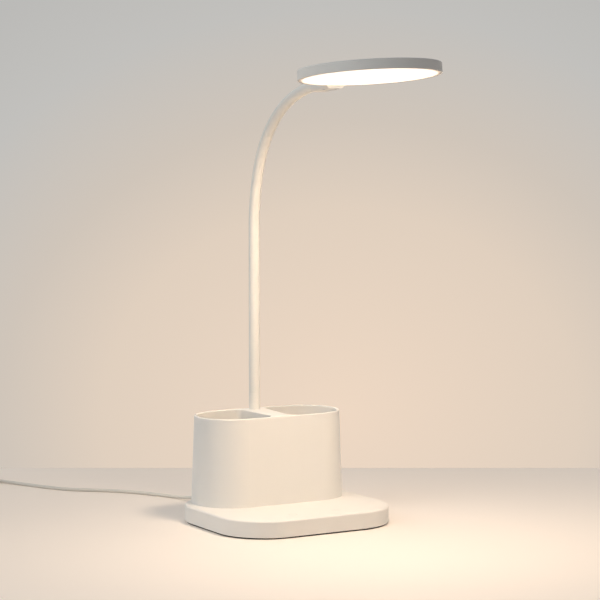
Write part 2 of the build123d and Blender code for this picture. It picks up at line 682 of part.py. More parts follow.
# The head shell: a shallow cup that opens downwards, with the tail that holds the neck.
with BuildPart() as head_shell:
    extrude(tail_section.sketch, amount=TAIL_REACH - TAIL_FRONT)
    split(bisect_by=head.offset(tail_split), keep=Keep.TOP)
    extrude(disc(head_radius, 0), amount=HEAD_THICK)
    extrude(disc(cup_radius, TAIL_BOTTOM), amount=plate_foot - TAIL_BOTTOM, mode=Mode.SUBTRACT)
    extrude(
        tail_plan(channel_half, TAIL_FRONT, tail_back, tail_split),
        amount=TAIL_AXIS - tail_split, mode=Mode.SUBTRACT,
    )
    extrude(tail_posts(cover_screws, TAIL_POST_DIA, tail_split), amount=TAIL_AXIS - tail_split)
    extrude(core_section.sketch, amount=TAIL_REACH - cup_radius + HEAD_WALL, mode=Mode.SUBTRACT)
    extrude(
        tail_posts(cover_screws, TAIL_SCREW_DIA + 2 * SCREW_GAP, tail_split),
        amount=TAIL_SCREW_GRIP + POST_ROOM, mode=Mode.SUBTRACT,
    )
    extrude(
        tail_posts(clamp_screws, TAIL_SCREW_DIA + 2 * SCREW_GAP, TAIL_AXIS),
        amount=TAIL_SCREW_GRIP + POST_ROOM, mode=Mode.SUBTRACT,
    )
    rim = head_shell.edges().filter_by(GeomType.CIRCLE).filter_by(
        lambda e: abs(e.radius - head_radius) < TOUCH_GAP
    )
    fillet(rim.sort_by(Axis(head_middle, head_up))[-1], HEAD_TOP_ROUND)
save(head_shell, "head_shell")

# The tail's cover, with a lip that reaches forward under the diffuser's edge.
with BuildPart() as tail_cover:
    extrude(tail_section.sketch, amount=TAIL_REACH - TAIL_FRONT)
    split(bisect_by=head.offset(-TOUCH_GAP), keep=Keep.BOTTOM)
    with BuildSketch(head.offset(tail_split)):
        Circle(2 * head_radius)
        Circle(cup_radius - FIT_GAP, mode=Mode.SUBTRACT)
    extrude(amount=HEAD_THICK, mode=Mode.SUBTRACT)
    extrude(
        tail_posts(cover_screws, TAIL_SCREW_DIA + 2 * SCREW_GAP, TAIL_BOTTOM),
        amount=TAIL_COVER_THICK, mode=Mode.SUBTRACT,
    )
    extrude(
        tail_posts(cover_screws, TAIL_SCREW_HEAD_DIA + 2 * SCREW_GAP, TAIL_BOTTOM),
        amount=TAIL_SCREW_HEAD_THICK, mode=Mode.SUBTRACT,
    )
save(tail_cover, "tail_cover")

# A steel saddle presses the neck's core up into the tail.
with BuildPart() as tail_clamp:
    extrude(
        tail_plan(
            channel_half - FIT_GAP, clamp_middle - CLAMP_LENGTH / 2,
            clamp_middle + CLAMP_LENGTH / 2, clamp_foot,
        ),
        amount=TAIL_AXIS - TOUCH_GAP - clamp_foot,
    )
    extrude(core_section.sketch, amount=TAIL_REACH - TAIL_FRONT, mode=Mode.SUBTRACT)
    extrude(
        tail_posts(clamp_screws, TAIL_SCREW_DIA + 2 * SCREW_GAP, clamp_foot),
        amount=TAIL_AXIS - clamp_foot, mode=Mode.SUBTRACT,
    )
save(tail_clamp, "tail_clamp")

screws(
    "tail_clamp_screws", clamp_screws, head.offset(clamp_foot),
    TAIL_AXIS - clamp_foot + TAIL_SCREW_GRIP,
    TAIL_SCREW_DIA, TAIL_SCREW_HEAD_DIA, TAIL_SCREW_HEAD_THICK,
)
screws(
    "tail_cover_screws", cover_screws, head.offset(TAIL_BOTTOM + TAIL_SCREW_HEAD_THICK),
    TAIL_COVER_THICK - TAIL_SCREW_HEAD_THICK + TAIL_SCREW_GRIP,
    TAIL_SCREW_DIA, TAIL_SCREW_HEAD_DIA, TAIL_SCREW_HEAD_THICK,
)

# The optical stack, from the face that shows upwards.
for stack_name, stack_radius, stack_foot, stack_thick in (
    ("diffuser", cup_radius - FIT_GAP, 0, DIFFUSER_THICK),
    ("light_guide", GUIDE_DIA / 2, guide_foot, GUIDE_THICK),
    ("reflector_sheet", strip_in, reflector_foot, REFLECTOR_THICK),
    ("foam_pad", FOAM_DIA / 2, foam_foot, plate_foot - foam_foot),
):
    with BuildPart() as layer:
        extrude(disc(stack_radius, stack_foot), amount=stack_thick)
    save(layer, stack_name)

# The LED strip lines the wall and shines into the edge of the light guide.
with BuildPart() as led_strip:
    with BuildSketch(head.offset(guide_foot)):
        Circle(strip_out)
        Circle(strip_in, mode=Mode.SUBTRACT)
    extrude(amount=STRIP_HEIGHT)
save(led_strip, "led_strip")

with BuildPart() as leds:
    with BuildSketch(head.offset(guide_foot + (STRIP_HEIGHT - LED_HEIGHT) / 2)):
        with PolarLocations(led_circle, LED_COUNT):
            Rectangle(LED_DEPTH, LED_WIDTH)
    extrude(amount=LED_HEIGHT)
save(leds, "leds")

# ---- cord -----------------------------------------------------------------------------------
relief_axis = Plane((RELIEF_X, back_wall_in, RELIEF_Z), x_dir=(-1, 0, 0), z_dir=(0, 1, 0))


def ring(diameter, reach):
    """A circle across the cord's exit, at a distance behind the back wall's inner face."""
    with BuildSketch(relief_axis.offset(reach)) as outline:
        Circle(diameter / 2)
    return outline.sketch


with BuildPart() as strain_relief:
    extrude(ring(RELIEF_FLANGE_DIA, 0), amount=-RELIEF_FLANGE_THICK)
    extrude(ring(RELIEF_NECK_DIA, 0), amount=BASE_WALL)
    loft([
        ring(RELIEF_FLANGE_DIA, BASE_WALL).face(),
        ring(RELIEF_NOSE_END_DIA, BASE_WALL + RELIEF_NOSE_LENGTH).face(),
    ])
    extrude(
        ring(CORD_DIA + 2 * CORD_GAP, -RELIEF_FLANGE_THICK),
        amount=RELIEF_FLANGE_THICK + BASE_WALL + RELIEF_NOSE_LENGTH, mode=Mode.SUBTRACT,
    )
save(strain_relief, "strain_relief")

# The cord's free stretch: straight runs joined by arcs as large as the runs allow.
route = [Vector(x, back_wall_out + behind, z) for x, behind, z in CORD_ROUTE]
radii = []
for before, corner, after in zip(route[:-2], route[1:-1], route[2:]):
    turn = radians((corner - before).get_angle(after - corner))
    shorter = min((corner - before).length, (after - corner).length)
    radii.append(ARC_SHARE * shorter / tan(turn / 2))
with BuildPart() as cord_lead:
    with BuildLine() as lead_path:
        FilletPolyline(*route, radius=radii)
    with BuildSketch(Plane(route[0], z_dir=route[1] - route[0])):
        Circle(CORD_DIA / 2)
    sweep(path=lead_path.wire())
save(cord_lead, "cord_lead")
lead_length = lead_path.wire().length
print("cord radii", [round(r, 1) for r in radii])
print("lead length", round(lead_length, 1), "volume over section x length",
      round(cord_lead.part.volume / (pi * CORD_DIA ** 2 / 4 * lead_length), 4))

# The put-away length: one tube that spirals in on the table, climbs and spirals out on top.
onward = (route[-1] - route[-2]).normalized()
aside = Vector(onward.Y, -onward.X, 0)
coil_start = route[-1] + onward * CORD_DIA
outer_turn = COIL_RADIUS + COIL_PITCH * COIL_TURNS / 2
coil_middle = coil_start - aside * outer_turn
half_turns = 4 * COIL_TURNS


def coil_radius(k):
    """Distance of the spiral's k-th end point from the middle, in half turns from the start."""
    return outer_turn - COIL_PITCH / 2 * min(k, half_turns - k)


def coil_point(k):
    """The k-th end point, on alternate sides of the coil, and the heading there."""
    side = 1 if k % 2 == 0 else -1
    lift = Vector(0, 0, COIL_LAYER if k >= half_turns / 2 else 0)
    return coil_middle + aside * (side * coil_radius(k)) + lift, onward * side


def biarc(start, heading, finish, last_heading):
    """Two arcs that leave start on one heading, meet smoothly and reach finish on another."""
    reach, both = finish - start, heading + last_heading
    spare = 2 * (1 - heading.dot(last_heading))
    if spare < SAME_HEADING:
        step = reach.dot(reach) / (2 * reach.dot(both))
    else:
        drift = reach.dot(both)
        step = (sqrt(drift ** 2 + spare * reach.dot(reach)) - drift) / spare
    knee_in, knee_out = start + heading * step, finish - last_heading * step
    knee = (knee_in + knee_out) * 0.5
    TangentArc(start, knee, tangent=heading)
    TangentArc(knee, finish, tangent=knee_out - knee_in)


coil_end = (
    coil_point(half_turns)[0] + onward * COIL_END
    + Vector(0, 0, PLUG_LIE + PLUG_GRIP_THICK / 2 - COIL_LIE - COIL_LAYER)
)
with BuildPart() as cord_coil:
    with BuildLine() as coil_path:
        Line(route[-1], coil_start)
        for k in range(half_turns):
            (start, heading), (finish, last_heading) = coil_point(k), coil_point(k + 1)
            if k + 1 == half_turns // 2:
                radius = (coil_radius(k) + coil_radius(k + 1)) / 2
                middle = (start + finish) * 0.5 + heading * radius
                middle = Vector(middle.X, middle.Y, start.Z)
                turned = (finish - start).normalized()
                turned = Vector(turned.X, turned.Y, 0).normalized()
                biarc(start, heading, middle, turned)
                biarc(middle, turned, finish, last_heading)
            else:
                biarc(start, heading, finish, last_heading)
        biarc(coil_point(half_turns)[0], onward, coil_end, onward)
        Line(coil_end, coil_end + onward * CORD_DIA)
    with BuildSketch(Plane(route[-1], z_dir=onward)):
        Circle(CORD_DIA / 2)
    sweep(path=coil_path.wire())
save(cord_coil, "cord_coil")

coil_wire = coil_path.wire()
samples = int(coil_wire.length / SELF_GAP_STEP)
dots = [coil_wire.position_at(i / samples) for i in range(samples + 1)]
skip = int(SELF_GAP_SKIP * CORD_DIA * samples / coil_wire.length)
least = min(
    (dots[i] - dots[j]).length for i in range(samples + 1) for j in range(i + skip, samples + 1)
)
print("coil length", round(coil_wire.length, 1), "least self-gap", round(least - CORD_DIA, 2),
      "volume over section x length",
      round(cord_coil.part.volume / (pi * CORD_DIA ** 2 / 4 * coil_wire.length), 4))
print("cord length", round(lead_length + coil_wire.length, 1))

# A strap holds the coil together on the side away from its two ends.
tie_out = outer_turn - COIL_PITCH / 4 + CORD_DIA / 2 + 2 * TIE_GAP
inner_turn = (coil_radius(half_turns // 2) + coil_radius(half_turns // 2 + 1)) / 2
inner_face = inner_turn - CORD_DIA / 2
tie_in = sqrt(inner_face ** 2 - (TIE_WIDTH / 2 + COIL_PITCH / 4) ** 2) - 2 * TIE_GAP
tie_low = COIL_LIE - CORD_DIA / 2 - TIE_GAP
tie_high = COIL_LIE + COIL_LAYER + CORD_DIA / 2 + TIE_GAP
with BuildPart() as cord_tie:
    with BuildSketch(Plane((coil_middle.X, coil_middle.Y, 0), x_dir=onward, z_dir=aside)):
        with Locations(((tie_in + tie_out) / 2, (tie_low + tie_high) / 2)):
            RectangleRounded(
                tie_out - tie_in + 2 * TIE_THICK, tie_high - tie_low + 2 * TIE_THICK,
                2 * TIE_THICK,
            )
            Rectangle(tie_out - tie_in, tie_high - tie_low, mode=Mode.SUBTRACT)
    extrude(amount=TIE_WIDTH / 2, both=True)
save(cord_tie, "cord_tie")

# The plug lies beside the coil: a soft nose and grip, a metal shell and its tongue.
plug_start = coil_end + onward * CORD_DIA
plug = Plane(plug_start, x_dir=-aside, z_dir=onward)
grip_end = PLUG_NOSE_LENGTH + PLUG_GRIP_LENGTH


def plug_section(width, thick, corner, reach):
    """A rounded rectangle across the plug at a distance from its start."""
    with BuildSketch(plug.offset(reach)) as outline:
        RectangleRounded(width, thick, corner)
    return outline.sketch


with BuildPart() as usb_plug_grip:
    extrude(
        plug_section(PLUG_GRIP_WIDTH, PLUG_GRIP_THICK, PLUG_GRIP_ROUND, PLUG_NOSE_LENGTH),
        amount=PLUG_GRIP_LENGTH,
    )
    ends = usb_plug_grip.faces().sort_by(Axis(plug_start, onward))
    fillet(ends[0].edges(), PLUG_GRIP_ROUND / 2)
    with BuildSketch(plug):
        Circle(PLUG_NOSE_END_DIA / 2)
    with BuildSketch(plug.offset(PLUG_NOSE_LENGTH)):
        Circle(PLUG_NOSE_DIA / 2)
    loft()
    extrude(
        plug_section(
            PLUG_SHELL_WIDTH + 2 * TOUCH_GAP, PLUG_SHELL_THICK + 2 * TOUCH_GAP,
            PLUG_SHELL_WALL, grip_end - PLUG_SHELL_SINK,
        ),
        amount=PLUG_SHELL_SINK, mode=Mode.SUBTRACT,
    )
save(usb_plug_grip, "usb_plug_grip")

with BuildPart() as usb_plug_shell:
    with BuildSketch(plug.offset(grip_end - PLUG_SHELL_SINK)):
        RectangleRounded(PLUG_SHELL_WIDTH, PLUG_SHELL_THICK, PLUG_SHELL_WALL)
        Rectangle(
            PLUG_SHELL_WIDTH - 2 * PLUG_SHELL_WALL, PLUG_SHELL_THICK - 2 * PLUG_SHELL_WALL,
            mode=Mode.SUBTRACT,
        )
    extrude(amount=PLUG_SHELL_LENGTH)
save(usb_plug_shell, "usb_plug_shell")

with BuildPart() as usb_plug_tongue:
    tongue_rise = PLUG_SHELL_THICK / 2 - PLUG_SHELL_WALL - PLUG_TONGUE_THICK / 2
    with BuildSketch(plug.offset(grip_end - PLUG_SHELL_SINK)):
        with Locations((0, tongue_rise - TOUCH_GAP)):
            Rectangle(PLUG_SHELL_WIDTH - 2 * PLUG_SHELL_WALL - 2 * TOUCH_GAP, PLUG_TONGUE_THICK)
    extrude(amount=PLUG_SHELL_LENGTH - 2 * PLUG_SHELL_WALL)
save(usb_plug_tongue, "usb_plug_tongue")
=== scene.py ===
import json
import math

import bmesh
import bpy
from mathutils import Matrix, Vector

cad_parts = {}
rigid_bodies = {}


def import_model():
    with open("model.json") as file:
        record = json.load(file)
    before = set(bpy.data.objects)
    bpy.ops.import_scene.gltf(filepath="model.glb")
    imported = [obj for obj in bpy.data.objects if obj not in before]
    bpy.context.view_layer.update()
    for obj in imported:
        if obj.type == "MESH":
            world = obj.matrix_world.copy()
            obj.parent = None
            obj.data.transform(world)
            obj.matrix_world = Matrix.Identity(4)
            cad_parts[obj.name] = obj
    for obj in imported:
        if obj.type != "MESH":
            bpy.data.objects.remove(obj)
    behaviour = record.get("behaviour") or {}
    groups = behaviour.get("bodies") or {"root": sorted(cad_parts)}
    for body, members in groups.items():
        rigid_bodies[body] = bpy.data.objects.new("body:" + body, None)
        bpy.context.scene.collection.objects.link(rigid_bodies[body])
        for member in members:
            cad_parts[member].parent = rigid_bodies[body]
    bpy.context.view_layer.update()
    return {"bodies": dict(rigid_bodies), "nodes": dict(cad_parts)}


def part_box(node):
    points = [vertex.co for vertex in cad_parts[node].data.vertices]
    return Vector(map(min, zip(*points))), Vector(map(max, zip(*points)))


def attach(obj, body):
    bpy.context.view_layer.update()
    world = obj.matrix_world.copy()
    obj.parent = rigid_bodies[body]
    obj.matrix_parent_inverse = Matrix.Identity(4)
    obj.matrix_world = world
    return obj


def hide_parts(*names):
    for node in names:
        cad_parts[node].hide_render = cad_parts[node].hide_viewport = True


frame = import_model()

# ---- camera ---------------------------------------------------------------------------------
# A long lens at about two metres looks along the lamp's left front corner, a little downwards,
# from just under the height of the head.
camera_lens = bpy.data.cameras.new("camera")
camera_lens.lens = 135.94
camera_lens.sensor_width = 36.0
camera = bpy.data.objects.new("camera", camera_lens)
camera.location = (-0.94557, -1.64516, 0.34968)
camera.rotation_euler = (math.radians(85.14), 0.0, math.radians(-30.23))
bpy.context.scene.collection.objects.link(camera)
bpy.context.scene.camera = camera

# ---- cord -----------------------------------------------------------------------------------
# A thin white USB lead, PVC over two stranded wires. It leaves the middle of the back wall,
# sinks to the table, runs off to the left, and its spare length is wound into a small coil.
CORD_DIAMETER = 0.003
CORD_EXIT = (-0.022, 0.057, 0.0083)
LIE = 0.00155           # height of the lead's middle on the table
COIL_LIE = 0.00225      # the same where the tie lies under it
cord_route = [
    CORD_EXIT,
    (-0.022, 0.092, 0.0083),
    (-0.0245, 0.126, 0.0034),
    (-0.031, 0.150, LIE),
    (-0.041, 0.172, LIE),
    (-0.053, 0.192, LIE),
    (-0.067, 0.208, LIE),
    (-0.084, 0.222, LIE),
    (-0.099, 0.236, LIE),
    (-0.110, 0.256, LIE),
    (-0.120, 0.279, LIE),
    (-0.132, 0.301, COIL_LIE),
    (-0.1435, 0.322, COIL_LIE),
]
OUTER_TURN = 0.0249     # radius of the widest turn
TURN_STEP = 0.00375
LAYER_STEP = 0.0038     # from the lower layer of turns to the upper one
TURNS = 8               # inwards in the lower layer, and out again in the upper one
POINTS_A_TURN = 16
CLIMB_FROM = 3.75       # turns, after which the lead starts up to the upper layer
COIL_RUN_OUT = 0.024    # from the last turn to the plug
STRAIGHT_RUN = 0.008    # of the lead after its last turn and before the plug
PLUG_LIE = 0.00425

onward = (Vector(cord_route[-1]) - Vector(cord_route[-2])).normalized()
aside = Vector((onward.y, -onward.x, 0.0))
up = Vector((0.0, 0.0, 1.0))
coil_start = Vector(cord_route[-1]) + onward * CORD_DIAMETER
coil_middle = coil_start - aside * OUTER_TURN

cord_points = [Vector(point) for point in cord_route]
for count in range(TURNS * POINTS_A_TURN):
    turn = (count + 0.5) / POINTS_A_TURN
    climb = min(max((turn - CLIMB_FROM) / (TURNS / 2 - CLIMB_FROM), 0.0), 1.0)
    climbed = climb * climb * (3 - 2 * climb)
    radius = OUTER_TURN - TURN_STEP * min(turn, TURNS - turn)
    radius /= math.cos(math.pi / POINTS_A_TURN)
    angle = 2 * math.pi * turn
    spoke = aside * math.cos(angle) + onward * math.sin(angle)
    cord_points.append(coil_middle + spoke * radius + up * LAYER_STEP * climbed)
last_turn = coil_start + up * LAYER_STEP
plug_start = coil_start + onward * (COIL_RUN_OUT + CORD_DIAMETER)
plug_start.z = PLUG_LIE
cord_points += [last_turn + onward * STRAIGHT_RUN, plug_start - onward * STRAIGHT_RUN, plug_start]

cord_line = bpy.data.curves.new("cord", "CURVE")
cord_line.dimensions = "3D"
cord_line.resolution_u = 6
cord_line.bevel_depth = CORD_DIAMETER / 2
cord_line.bevel_resolution = 4
cord_line.use_fill_caps = True
spline = cord_line.splines.new("NURBS")
spline.points.add(len(cord_points) - 1)
for control, point in zip(spline.points, cord_points):
    control.co = (*point, 1.0)
spline.order_u = 3
spline.use_endpoint_u = True
cord = bpy.data.objects.new("cord", cord_line)
bpy.context.scene.collection.objects.link(cord)


class Signal:
    """An output of a node. Sums and products with numbers or other signals add Math nodes."""

    def __init__(self, work, socket):
        self.work, self.socket = work, socket

    def reckon(self, operation, first, second):
        return self.work.node("ShaderNodeMath", {"operation": operation}, {0: first, 1: second})

    def __add__(self, other):
        return self.reckon("ADD", self, other)

    def __sub__(self, other):
        return self.reckon("SUBTRACT", self, other)

    def __rsub__(self, other):
        return self.reckon("SUBTRACT", other, self)

    def __mul__(self, other):
        return self.reckon("MULTIPLY", self, other)

    def __truediv__(self, other):
        return self.reckon("DIVIDE", self, other)

    def __gt__(self, other):
        return self.reckon("GREATER_THAN", self, other)

    def __lt__(self, other):
        return self.reckon("LESS_THAN", self, other)

    __radd__ = __add__
    __rmul__ = __mul__


class NodeWork:
    """A tree whose nodes are added one by one."""

    def __init__(self, tree):
        self.tree = tree
        self.tree.nodes.clear()

    def node(self, kind, settings={}, inputs={}, output=0):
        """Add a node, set it up and wire it, and give one of its outputs."""
        node = self.tree.nodes.new(kind)
        for key, value in settings.items():
            if key == "stops":
                ramp = node.color_ramp.elements
                while len(ramp) < len(value):
                    ramp.new(1.0)
                for element, (position, colour) in zip(ramp, value):
                    element.position, element.color = position, (*colour, 1.0)
            else:
                setattr(node, key, value)
        for key, value in inputs.items():
            if isinstance(value, Signal):
                self.tree.links.new(value.socket, node.inputs[key])
            else:
                node.inputs[key].default_value = value
        return Signal(self, node.outputs[output]) if node.outputs else None


class Finish(NodeWork):
    """A material, with patterns that keep their place on the piece."""

    def __init__(self, name):
        self.material = bpy.data.materials.new(name)
        self.material.use_nodes = True
        super().__init__(self.material.node_tree)
        self.place = self.node("ShaderNodeTexCoord", output="Object")

    def noise(self, size, detail=2.0):
        """Soft noise from 0 to 1 whose blots are about this many metres across."""
        return self.node(
            "ShaderNodeTexNoise", {}, {"Vector": self.place, "Scale": 1 / size, "Detail": detail}
        )

    def blend(self, share, first, second):
        """A colour between two colours."""
        return self.node(
            "ShaderNodeMix", {"data_type": "RGBA"}, {0: share, 6: first, 7: second}, 2
        )

    def relief(self, height, depth):
        """Normals for a height from 0 to 1 that stands this many metres high at 1."""
        return self.node("ShaderNodeBump", {}, {"Height": height, "Distance": depth})

    def surface(self, inputs):
        """Close the material with a Principled shader."""
        shader = self.node("ShaderNodeBsdfPrincipled", {}, inputs)
        self.node("ShaderNodeOutputMaterial", {}, {"Surface": shader})
        return self.material


def colour(red, green, blue):
    return (red, green, blue, 1.0)


def dress(node_or_piece, material):
    """Put one material on every slot of a CAD node or of a piece."""
    slots = node_or_piece.data.materials
    if not slots:
        slots.append(material)
    for index in range(len(slots)):
        slots[index] = material


lead = Finish("soft_white_lead")
lead_bloom = lead.noise(0.02)
lead_skin = lead.noise(0.0005, 3.0)
soft_white_lead = lead.surface({
    "Base Color": lead.blend(lead_bloom, colour(0.77, 0.73, 0.66), colour(0.71, 0.67, 0.60)),
    "Roughness": lead_skin * 0.12 + 0.42,
    "Normal": lead.relief(lead_skin, 0.00003),
})
dress(cord, soft_white_lead)
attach(cord, "base")
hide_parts("cord_lead", "cord_coil")

# ---- strain relief --------------------------------------------------------------------------
# A soft tapered boot, snapped into the back wall. Four rings stand round its nose, so that the
# lead bends over a long curve where it leaves the base.
BOOT_BORE = 0.00156
BOOT_FLANGE = 0.0042        # radius of the flange inside the wall
BOOT_FLANGE_THICK = 0.0015
BOOT_WAIST = 0.0033         # radius in the wall's hole
BOOT_COLLAR = 0.0041        # radius of the collar behind the wall
BOOT_COLLAR_THICK = 0.0008
NOSE_LENGTH = 0.007
NOSE_STEP = 0.0003          # from the collar to where the nose starts
NOSE_START = 0.0036         # radius between the rings, beside the collar and at the end
NOSE_END = 0.00235
NOSE_LIPS = ((0.0008, NOSE_END), (0.0004, 0.0023), (0.0, 0.0021))
BOOT_SIDES = 32
FIRST_RING = 0.0019         # from the wall to the first ring
relief_low, relief_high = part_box("strain_relief")
relief_axis = Vector((CORD_EXIT[0], 0.0, CORD_EXIT[2]))
flange_back = relief_low.y + BOOT_FLANGE_THICK
wall_back = relief_high.y - NOSE_LENGTH
collar_back = wall_back + BOOT_COLLAR_THICK
relief_profile = [
    (relief_low.y, BOOT_BORE), (relief_low.y, BOOT_FLANGE), (flange_back, BOOT_FLANGE),
    (flange_back, BOOT_WAIST), (wall_back, BOOT_WAIST), (wall_back, BOOT_COLLAR),
    (collar_back, BOOT_COLLAR), (collar_back + NOSE_STEP, NOSE_START),
    *((relief_high.y - back, radius) for back, radius in NOSE_LIPS), (relief_high.y, BOOT_BORE),
]


def finished(name, mesh, sharp_degrees=35.0):
    """An object of this mesh, faces outwards, smooth apart from its sharp edges."""
    work = bmesh.new()
    work.from_mesh(mesh)
    bmesh.ops.recalc_face_normals(work, faces=work.faces)
    work.to_mesh(mesh)
    work.free()
    mesh.shade_smooth()
    mesh.set_sharp_from_angle(angle=math.radians(sharp_degrees))
    piece = bpy.data.objects.new(name, mesh)
    bpy.context.scene.collection.objects.link(piece)
    return piece


def turned_mesh(name, profile, to_world, segments):
    """A closed shell turned round an axis from a closed list of (place on the axis, radius)."""
    points, faces, rings = [], [], len(profile)
    for place, radius in profile:
        for step in range(segments):
            angle = 2 * math.pi * step / segments
            points.append(to_world(place, radius * math.cos(angle), radius * math.sin(angle)))
    for ring in range(rings):
        beyond = (ring + 1) % rings
        for step in range(segments):
            after = (step + 1) % segments
            faces.append((
                ring * segments + step, ring * segments + after,
                beyond * segments + after, beyond * segments + step,
            ))
    mesh = bpy.data.meshes.new(name)
    mesh.from_pydata(points, [], faces)
    return finished(name, mesh)


relief_boot = turned_mesh(
    "strain_relief_boot", relief_profile,
    lambda place, across, rise: (relief_axis.x + across, place, relief_axis.z + rise), BOOT_SIDES,
)
dress(relief_boot, soft_white_lead)
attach(relief_boot, "base")
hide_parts("strain_relief")


def row_tree(name, ring):
    """Geometry Nodes: a row of rings or bars along +Y that narrows to its end."""
    tree = bpy.data.node_groups.new(name, "GeometryNodeTree")
    for label, kind in (
        ("Count", "NodeSocketInt"), ("Step", "NodeSocketVector"), ("Thickness", "NodeSocketFloat"),
        ("First Size", "NodeSocketFloat"), ("Last Size", "NodeSocketFloat"),
        ("Material", "NodeSocketMaterial"),
    ):
        tree.interface.new_socket(label, in_out="INPUT", socket_type=kind)
    tree.interface.new_socket("Geometry", in_out="OUTPUT", socket_type="NodeSocketGeometry")

    work = NodeWork(tree)
    entry = {
        item.name: work.node("NodeGroupInput", output=item.name)
        for item in tree.interface.items_tree if item.in_out == "INPUT"
    }
    line = work.node("GeometryNodeMeshLine", {"mode": "OFFSET"}, {
        "Count": entry["Count"], "Offset": entry["Step"],
    })
    if ring:
        shape = work.node("GeometryNodeCurveToMesh", {}, {
            "Curve": work.node("GeometryNodeCurvePrimitiveCircle", {}, {
                "Resolution": 32, "Radius": 1.0,
            }),
            "Profile Curve": work.node("GeometryNodeCurvePrimitiveCircle", {}, {
                "Resolution": 8, "Radius": entry["Thickness"],
            }),
        })
    else:
        shape = work.node("GeometryNodeMeshCylinder", {}, {
            "Vertices": 12, "Radius": entry["Thickness"], "Depth": 2.0,
        })
    size = work.node("ShaderNodeMapRange", {}, {
        "Value": work.node("GeometryNodeInputIndex"), "From Max": entry["Count"] - 1.0,
        "To Min": entry["First Size"], "To Max": entry["Last Size"],
    })
    placed = work.node("GeometryNodeInstanceOnPoints", {}, {
        "Points": line, "Instance": shape, "Scale": size,
    })
    real = work.node("GeometryNodeRealizeInstances", {}, {"Geometry": placed})
    smooth = work.node("GeometryNodeSetShadeSmooth", {}, {"Geometry": real})
    coated = work.node("GeometryNodeSetMaterial", {}, {
        "Geometry": smooth, "Material": entry["Material"],
    })
    work.node("NodeGroupOutput", {}, {"Geometry": coated})
    return tree


def grow(name, tree, values, to_world):
    """Run a Geometry Nodes tree once and keep its result as a plain mesh in its place."""
    seed = bpy.data.meshes.new(name + "_seed")
    piece = bpy.data.objects.new(name, seed)
    bpy.context.scene.collection.objects.link(piece)
    run = piece.modifiers.new("row", "NODES")
    run.node_group = tree
    for item in tree.interface.items_tree:
        if item.item_type == "SOCKET" and item.in_out == "INPUT" and item.name in values:
            run[item.identifier] = values[item.name]
    bpy.context.view_layer.update()
    seen = piece.evaluated_get(bpy.context.evaluated_depsgraph_get())
    piece.data = bpy.data.meshes.new_from_object(seen)
    piece.modifiers.clear()
    piece.data.transform(to_world)
    return piece


relief_rings = grow("strain_relief_rings", row_tree("ring_row", True), {
    "Count": 4, "Step": (0.0, 0.0, 0.00135), "Thickness": 0.16,
    "First Size": 0.00335, "Last Size": 0.0022, "Material": soft_white_lead,
}, Matrix.Translation((relief_axis.x, wall_back + FIRST_RING, relief_axis.z))
    @ Matrix.Rotation(math.radians(-90), 4, "X"))
dress(relief_rings, soft_white_lead)
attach(relief_rings, "base")

# ---- USB plug -------------------------------------------------------------------------------
# The lead's far end: a moulded grip with three bars on each face, and a folded steel shell
# round a black tongue, which carries four contacts.
metal = Finish("plated_steel_shell")
brush = metal.node("ShaderNodeTexNoise", {}, {
    "Vector": metal.node("ShaderNodeMapping", {}, {
        "Vector": metal.place, "Scale": (60.0, 60.0, 4000.0),
    }),
    "Scale": 1.0, "Detail": 2.0,
})
plated_steel_shell = metal.surface({
    "Base Color": metal.blend(brush, colour(0.62, 0.62, 0.63), colour(0.76, 0.76, 0.77)),
    "Metallic": 1.0,
    "Roughness": brush * 0.14 + 0.22,
})
insulator = Finish("black_tongue")
insulator_skin = insulator.noise(0.0004, 3.0)
black_tongue = insulator.surface({
    "Base Color": insulator.blend(
        insulator_skin, colour(0.02, 0.02, 0.022), colour(0.03, 0.03, 0.03)
    ),
    "Roughness": insulator_skin * 0.2 + 0.5,
})
dress(frame["nodes"]["usb_plug_grip"], soft_white_lead)
dress(frame["nodes"]["usb_plug_shell"], plated_steel_shell)
dress(frame["nodes"]["usb_plug_tongue"], black_tongue)
BARS_FROM = 0.021       # from the lead's end to the first bar
GRIP_RISE = 0.0042      # from the plug's middle to the grip's faces
BAR_SINK = 0.0001
plug_turn = Matrix((onward, up, aside)).transposed().to_4x4()
bars_place = plug_start + onward * BARS_FROM + up * (GRIP_RISE - BAR_SINK)
grip_bars = grow("usb_plug_bars", row_tree("bar_row", False), {
    "Count": 5, "Step": (0.0018, 0.0, 0.0), "Thickness": 0.08,
    "First Size": 0.0042, "Last Size": 0.0042, "Material": soft_white_lead,
}, Matrix.Translation(bars_place) @ plug_turn)
dress(grip_bars, soft_white_lead)
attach(grip_bars, "base")

contact_metal = Finish("gold_contacts")
contact_skin = contact_metal.noise(0.0006, 2.0)
gold_contacts = contact_metal.surface({
    "Base Color": contact_metal.blend(
        contact_skin, colour(0.83, 0.62, 0.28), colour(0.75, 0.55, 0.24)
    ),
    "Metallic": 1.0,
    "Roughness": contact_skin * 0.1 + 0.25,
})


def soft_box(name, low, high, edge, to_world):
    """A box with rounded edges, between two corners and then placed."""
    mesh = bpy.data.meshes.new(name)
    work = bmesh.new()
    bmesh.ops.create_cube(work, size=1.0)
    for vertex in work.verts:
        vertex.co = Vector((
            (high[axis] + low[axis]) / 2 + vertex.co[axis] * (high[axis] - low[axis])
            for axis in range(3)
        ))
    bmesh.ops.bevel(work, geom=work.edges, offset=edge, segments=2, affect="EDGES")
    bmesh.ops.transform(work, matrix=to_world, verts=work.verts)
    work.to_mesh(mesh)
    work.free()
    return finished(name, mesh)


